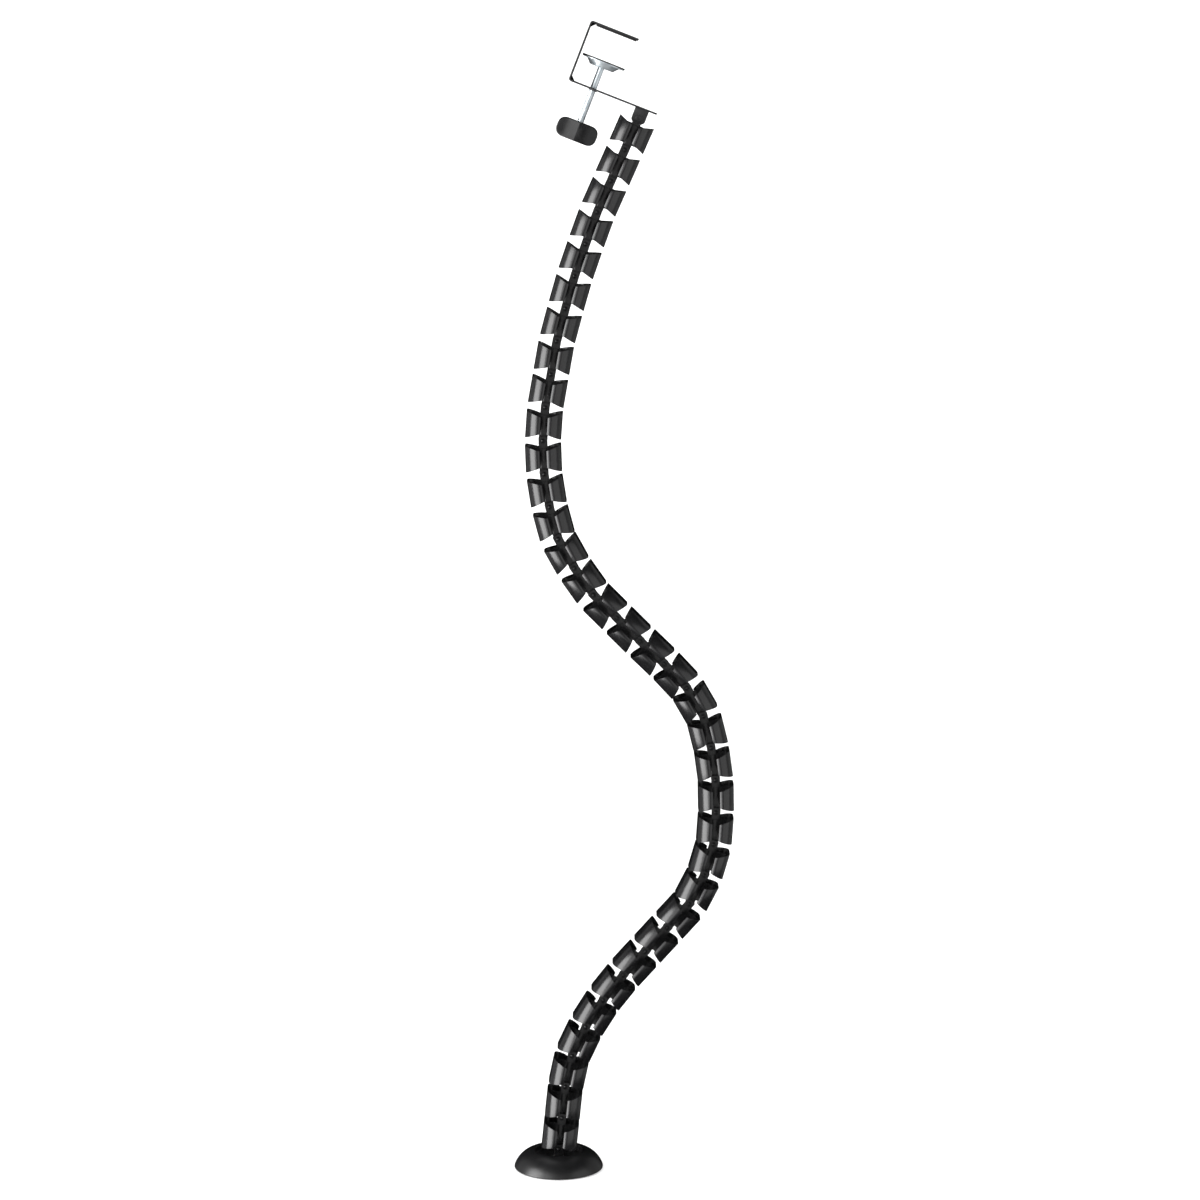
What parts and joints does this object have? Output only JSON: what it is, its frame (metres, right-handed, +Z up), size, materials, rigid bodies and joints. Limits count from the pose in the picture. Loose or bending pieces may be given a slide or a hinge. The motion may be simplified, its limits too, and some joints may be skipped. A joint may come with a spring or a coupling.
{
  "type": "cable spine",
  "caption": "Jointed cable spine: a chain of oval two-channel links on a weighted round base, with a screw clamp at its top for a desk edge.",
  "frame": {"origin": "middle of the foot's underside, on the floor", "axes": "+Z up, +X to the picture's right in the plane of the S-bend, +Y to the rear along the hinge axes"},
  "size_m": [0.2409, 0.098, 1.2543],
  "materials": {
    "moulded_black": "semi-gloss moulded black plastic",
    "black_rubber": "matt",
    "black_foam": "matt foam sheet",
    "bare_steel": "plain steel",
    "bright_steel": "bright zinc plate",
    "painted_steel": "black powder coat"
  },
  "bodies": {
    "base": {"base_cover": "moulded_black", "base_foot": "black_rubber", "base_weight": "bare_steel", "base_anchor": "moulded_black", "anchor_screws": "bright_steel"},
    "spine_01": {"link_01": "moulded_black"},
    "spine_02": {"link_02": "moulded_black"},
    "spine_03": {"link_03": "moulded_black"},
    "spine_04": {"link_04": "moulded_black"},
    "spine_05": {"link_05": "moulded_black"},
    "spine_06": {"link_06": "moulded_black"},
    "spine_07": {"link_07": "moulded_black"},
    "spine_08": {"link_08": "moulded_black"},
    "spine_09": {"link_09": "moulded_black"},
    "spine_10": {"link_10": "moulded_black"},
    "spine_11": {"link_11": "moulded_black"},
    "spine_12": {"link_12": "moulded_black"},
    "spine_13": {"link_13": "moulded_black"},
    "spine_14": {"link_14": "moulded_black"},
    "spine_15": {"link_15": "moulded_black"},
    "spine_16": {"link_16": "moulded_black"},
    "spine_17": {"link_17": "moulded_black"},
    "spine_18": {"link_18": "moulded_black"},
    "spine_19": {"link_19": "moulded_black"},
    "spine_20": {"link_20": "moulded_black"},
    "spine_21": {"link_21": "moulded_black"},
    "spine_22": {"link_22": "moulded_black"},
    "spine_23": {"link_23": "moulded_black"},
    "spine_24": {"link_24": "moulded_black"},
    "spine_25": {"link_25": "moulded_black"},
    "spine_26": {"link_26": "moulded_black"},
    "spine_27": {"link_27": "moulded_black"},
    "spine_28": {"link_28": "moulded_black"},
    "spine_29": {"link_29": "moulded_black"},
    "spine_30": {"link_30": "moulded_black"},
    "spine_31": {"link_31": "moulded_black"},
    "spine_32": {"link_32": "moulded_black"},
    "spine_33": {"link_33": "moulded_black"},
    "spine_34": {"link_34": "moulded_black"},
    "spine_35": {"link_35": "moulded_black"},
    "bracket": {"clamp_bracket": "painted_steel", "jaw_pad": "black_foam", "pivot_rivet": "painted_steel"},
    "pad": {"pressure_dish": "bright_steel", "dish_pad": "black_rubber"},
    "screw": {"clamp_rod": "bright_steel", "wing_knob": "moulded_black"}
  },
  "joints": [
    {"name": "pivot_01", "type": "hinge", "parent": "base", "child": "spine_01", "pos_m": [0, 0, 0.021], "axis": [0, 1, 0], "range_deg": [-24, 12]},
    {"name": "pivot_02", "type": "hinge", "parent": "spine_01", "child": "spine_02", "pos_m": [0.00376, 0, 0.0568], "axis": [0, 1, 0], "range_deg": [-18, 18]},
    {"name": "pivot_03", "type": "hinge", "parent": "spine_02", "child": "spine_03", "pos_m": [0.00753, 0, 0.09261], "axis": [0, 1, 0], "range_deg": [-24, 12]},
    {"name": "pivot_04", "type": "hinge", "parent": "spine_03", "child": "spine_04", "pos_m": [0.01501, 0, 0.12782], "axis": [0, -1, 0], "range_deg": [-5, 31]},
    {"name": "pivot_05", "type": "hinge", "parent": "spine_04", "child": "spine_05", "pos_m": [0.03022, 0, 0.16045], "axis": [0, -1, 0], "range_deg": [-11, 25]},
    {"name": "pivot_06", "type": "hinge", "parent": "spine_05", "child": "spine_06", "pos_m": [0.0493, 0, 0.19098], "axis": [0, -1, 0], "range_deg": [-12, 24]},
    {"name": "pivot_07", "type": "hinge", "parent": "spine_06", "child": "spine_07", "pos_m": [0.07147, 0, 0.21934], "axis": [0, -1, 0], "range_deg": [-14, 22]},
    {"name": "pivot_08", "type": "hinge", "parent": "spine_07", "child": "spine_08", "pos_m": [0.09556, 0, 0.2461], "axis": [0, -1, 0], "range_deg": [-18, 18]},
    {"name": "pivot_09", "type": "hinge", "parent": "spine_08", "child": "spine_09", "pos_m": [0.11964, 0, 0.27285], "axis": [0, -1, 0], "range_deg": [-18, 18]},
    {"name": "pivot_10", "type": "hinge", "parent": "spine_09", "child": "spine_10", "pos_m": [0.14373, 0, 0.2996], "axis": [0, 1, 0], "range_deg": [-3, 33]},
    {"name": "pivot_11", "type": "hinge", "parent": "spine_10", "child": "spine_11", "pos_m": [0.16008, 0, 0.33168], "axis": [0, 1, 0], "range_deg": [-7, 29]},
    {"name": "pivot_12", "type": "hinge", "parent": "spine_11", "child": "spine_12", "pos_m": [0.17, 0, 0.36629], "axis": [0, 1, 0], "range_deg": [-6, 30]},
    {"name": "pivot_13", "type": "hinge", "parent": "spine_12", "child": "spine_13", "pos_m": [0.17251, 0, 0.4022], "axis": [0, 1, 0], "range_deg": [-13, 23]},
    {"name": "pivot_14", "type": "hinge", "parent": "spine_13", "child": "spine_14", "pos_m": [0.17188, 0, 0.43819], "axis": [0, 1, 0], "range_deg": [-11, 25]},
    {"name": "pivot_15", "type": "hinge", "parent": "spine_14", "child": "spine_15", "pos_m": [0.16687, 0, 0.47384], "axis": [0, 1, 0], "range_deg": [-12, 24]},
    {"name": "pivot_16", "type": "hinge", "parent": "spine_15", "child": "spine_16", "pos_m": [0.15816, 0, 0.50877], "axis": [0, -1, 0], "range_deg": [-34, 2]},
    {"name": "pivot_17", "type": "hinge", "parent": "spine_16", "child": "spine_17", "pos_m": [0.14016, 0, 0.53995], "axis": [0, -1, 0], "range_deg": [-31, 5]},
    {"name": "pivot_18", "type": "hinge", "parent": "spine_17", "child": "spine_18", "pos_m": [0.11561, 0, 0.56628], "axis": [0, -1, 0], "range_deg": [-21, 15]},
    {"name": "pivot_19", "type": "hinge", "parent": "spine_18", "child": "spine_19", "pos_m": [0.08971, 0, 0.59129], "axis": [0, -1, 0], "range_deg": [-17, 19]},
    {"name": "pivot_20", "type": "hinge", "parent": "spine_19", "child": "spine_20", "pos_m": [0.06426, 0, 0.61674], "axis": [0, -1, 0], "range_deg": [-18, 18]},
    {"name": "pivot_21", "type": "hinge", "parent": "spine_20", "child": "spine_21", "pos_m": [0.0388, 0, 0.6422], "axis": [0, -1, 0], "range_deg": [-8, 28]},
    {"name": "pivot_22", "type": "hinge", "parent": "spine_21", "child": "spine_22", "pos_m": [0.01815, 0, 0.67169], "axis": [0, 1, 0], "range_deg": [-24, 12]},
    {"name": "pivot_23", "type": "hinge", "parent": "spine_22", "child": "spine_23", "pos_m": [0.0007, 0, 0.70317], "axis": [0, 1, 0], "range_deg": [-32, 4]},
    {"name": "pivot_24", "type": "hinge", "parent": "spine_23", "child": "spine_24", "pos_m": [-0.00862, 0, 0.73795], "axis": [0, 1, 0], "range_deg": [-24, 12]},
    {"name": "pivot_25", "type": "hinge", "parent": "spine_24", "child": "spine_25", "pos_m": [-0.01425, 0, 0.7735], "axis": [0, 1, 0], "range_deg": [-25, 11]},
    {"name": "pivot_26", "type": "hinge", "parent": "spine_25", "child": "spine_26", "pos_m": [-0.0155, 0, 0.80948], "axis": [0, 1, 0], "range_deg": [-24, 12]},
    {"name": "pivot_27", "type": "hinge", "parent": "spine_26", "child": "spine_27", "pos_m": [-0.01299, 0, 0.84539], "axis": [0, 1, 0], "range_deg": [-24, 12]},
    {"name": "pivot_28", "type": "hinge", "parent": "spine_27", "child": "spine_28", "pos_m": [-0.00674, 0, 0.88085], "axis": [0, -1, 0], "range_deg": [-18, 18]},
    {"name": "pivot_29", "type": "hinge", "parent": "spine_28", "child": "spine_29", "pos_m": [-0.00049, 0, 0.9163], "axis": [0, -1, 0], "range_deg": [-13, 23]},
    {"name": "pivot_30", "type": "hinge", "parent": "spine_29", "child": "spine_30", "pos_m": [0.00883, 0, 0.95107], "axis": [0, -1, 0], "range_deg": [-17, 19]},
    {"name": "pivot_31", "type": "hinge", "parent": "spine_30", "child": "spine_31", "pos_m": [0.01875, 0, 0.98568], "axis": [0, -1, 0], "range_deg": [-15, 21]},
    {"name": "pivot_32", "type": "hinge", "parent": "spine_31", "child": "spine_32", "pos_m": [0.03047, 0, 1.01972], "axis": [0, -1, 0], "range_deg": [-17, 19]},
    {"name": "pivot_33", "type": "hinge", "parent": "spine_32", "child": "spine_33", "pos_m": [0.04278, 0, 1.05355], "axis": [0, -1, 0], "range_deg": [-14, 22]},
    {"name": "pivot_34", "type": "hinge", "parent": "spine_33", "child": "spine_34", "pos_m": [0.05742, 0, 1.08643], "axis": [0, 1, 0], "range_deg": [-18, 18]},
    {"name": "pivot_35", "type": "hinge", "parent": "spine_34", "child": "spine_35", "pos_m": [0.07207, 0, 1.11932], "axis": [0, 1, 0], "range_deg": [-18, 18]},
    {"name": "clamp_pivot", "type": "hinge", "parent": "spine_35", "child": "bracket", "pos_m": [0.08671, 0, 1.15221], "axis": [0, 1, 0], "range_deg": [-5.3, 32.7]},
    {"name": "pad_slide", "type": "slide", "parent": "bracket", "child": "pad", "axis": [-0.3633, 0, -0.9317], "range_m": [-0.0297, 0.022]},
    {"name": "screw_turn", "type": "hinge", "parent": "pad", "child": "screw", "pos_m": [0.03435, 0.0142, 1.17262], "axis": [-0.3633, 0, -0.9317], "range_deg": [-8556, 6338]}
  ],
  "couplings": [
    {"joint": "screw_turn", "follows": "pad_slide", "rad_per_m": 5026.5}
  ]
}
